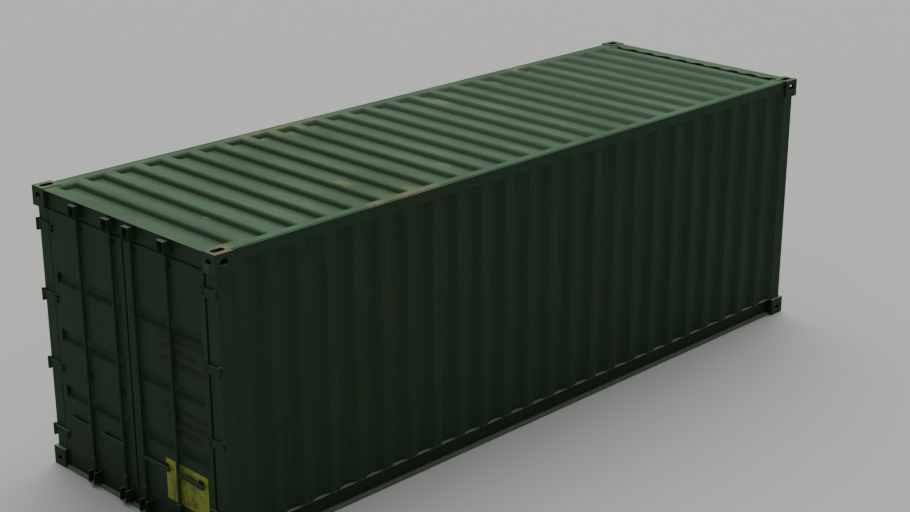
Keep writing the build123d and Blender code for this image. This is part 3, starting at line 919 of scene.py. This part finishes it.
# Yellow vinyl film stuck to the door: even and slightly glossy, scuffed and dirty towards the middle.
def yellowVinyl():
    values = filmValues
    bright, dull, rubbedOff = (linearColour(text) for text in values["colours"])
    (x0, z0), (x1, z1) = values["low"], values["high"]
    material, tree = newMaterial("yellowVinylFilm")
    place = addNode(tree, "ShaderNodeTexCoord").outputs["Object"]
    scuff = addNode(
        tree, "ShaderNodeTexNoise", Vector=place, Scale=values["scuffScale"], Detail=6.0, Roughness=0.7
    ).outputs["Fac"]
    fine = addNode(
        tree, "ShaderNodeTexNoise", Vector=place, Scale=values["fineScale"], Detail=4.0
    ).outputs["Fac"]
    base = addNode(tree, "ShaderNodeMix", colourMix, i0=fine, i6=bright, i7=dull).outputs[2]
    middle = ((x0 + x1) / 2, leafFace, (z0 + z1) / 2)
    gap = addNode(
        tree, "ShaderNodeVectorMath", {"operation": "DISTANCE"}, i0=place, i1=middle
    ).outputs["Value"]
    inward = addNode(
        tree, "ShaderNodeMapRange",
        Value=gap, From_Min=0.12, From_Max=values["rubbedReach"], To_Min=0.14, To_Max=0.0,
    ).outputs["Result"]
    rubbed = addNode(tree, "ShaderNodeMath", {"operation": "ADD"}, i0=scuff, i1=inward).outputs["Value"]
    worn = addNode(
        tree, "ShaderNodeMapRange", Value=rubbed, From_Min=0.5, From_Max=0.72, To_Max=0.8
    ).outputs["Result"]
    tone = addNode(tree, "ShaderNodeMix", colourMix, i0=worn, i6=base, i7=rubbedOff).outputs[2]
    shader = addNode(
        tree, "ShaderNodeBsdfPrincipled", Base_Color=tone, Roughness=values["roughness"], IOR=1.5
    )
    closeMaterial(tree, shader, fine, values["fineDepth"], 0.4)
    return material


def layFilm():
    values = filmValues
    (x0, z0), (x1, z1) = values["low"], values["high"]
    clearSelection()
    bpy.ops.mesh.primitive_cube_add(
        size=1.0, location=((x0 + x1) / 2, leafFace - values["thickness"] / 2, (z0 + z1) / 2),
        scale=(x1 - x0, values["thickness"], z1 - z0),
    )
    film = bpy.context.object
    settle(film)
    selectEdges(film, lambda way: abs(way.y) > values["thickness"] / 2)
    bpy.ops.mesh.bevel(offset=values["corner"], segments=6)
    finishPiece(film, "yellow_field", "right_door", yellowVinyl())


layFilm()
print("yellow field laid")


def placeCamera():
    values = cameraValues
    azimuth = math.radians(values["azimuth"])
    elevation = math.radians(values["elevation"])
    back = Vector((
        math.sin(azimuth) * math.cos(elevation), -math.cos(azimuth) * math.cos(elevation), math.sin(elevation)
    ))
    right = Vector((math.cos(azimuth), math.sin(azimuth), 0.0))
    up = back.cross(right)
    spot = right * values["slideRight"] + up * values["slideUp"] + back * values["distance"]
    spot.y += values["originShift"]
    turn = Matrix((right, up, back)).transposed().to_4x4()
    lens = bpy.data.cameras.new("photoCamera")
    lens.lens = values["focalLength"]
    lens.sensor_width = values["sensorWidth"]
    lens.clip_end = values["clipEnd"]
    holder = bpy.data.objects.new("photoCamera", lens)
    bpy.context.scene.collection.objects.link(holder)
    holder.matrix_world = Matrix.Translation(spot) @ turn
    bpy.context.scene.camera = holder


def hangHighLight():
    lamp = bpy.data.lights.new("highLight", "SUN")
    lamp.energy = studioValues["highLight"]
    lamp.angle = math.radians(studioValues["highSpread"])
    holder = bpy.data.objects.new("highLight", lamp)
    bpy.context.scene.collection.objects.link(holder)
    holder.rotation_euler = (-Vector(studioValues["highFrom"])).to_track_quat("-Z", "Y").to_euler()


def buildStudio():
    values = studioValues
    clearSelection()
    bpy.ops.mesh.primitive_plane_add(size=2 * values["floorHalf"], location=(0.0, 0.0, 0.0))
    ground = bpy.context.object
    ground.name = "studio_floor"
    material, tree = newMaterial("paleFloor")
    shader = addNode(
        tree, "ShaderNodeBsdfPrincipled",
        Base_Color=linearColour(values["floorColour"]), Roughness=values["floorRoughness"],
    )
    closeMaterial(tree, shader)
    ground.data.materials.append(material)
    world = bpy.data.worlds.new("softSky")
    world.use_nodes = True
    sky = world.node_tree.nodes["Background"]
    sky.inputs["Color"].default_value = linearColour(values["skyColour"])
    sky.inputs["Strength"].default_value = values["skyStrength"]
    bpy.context.scene.world = world
    hangHighLight()
    print("studio ready")


placeCamera()
buildStudio()
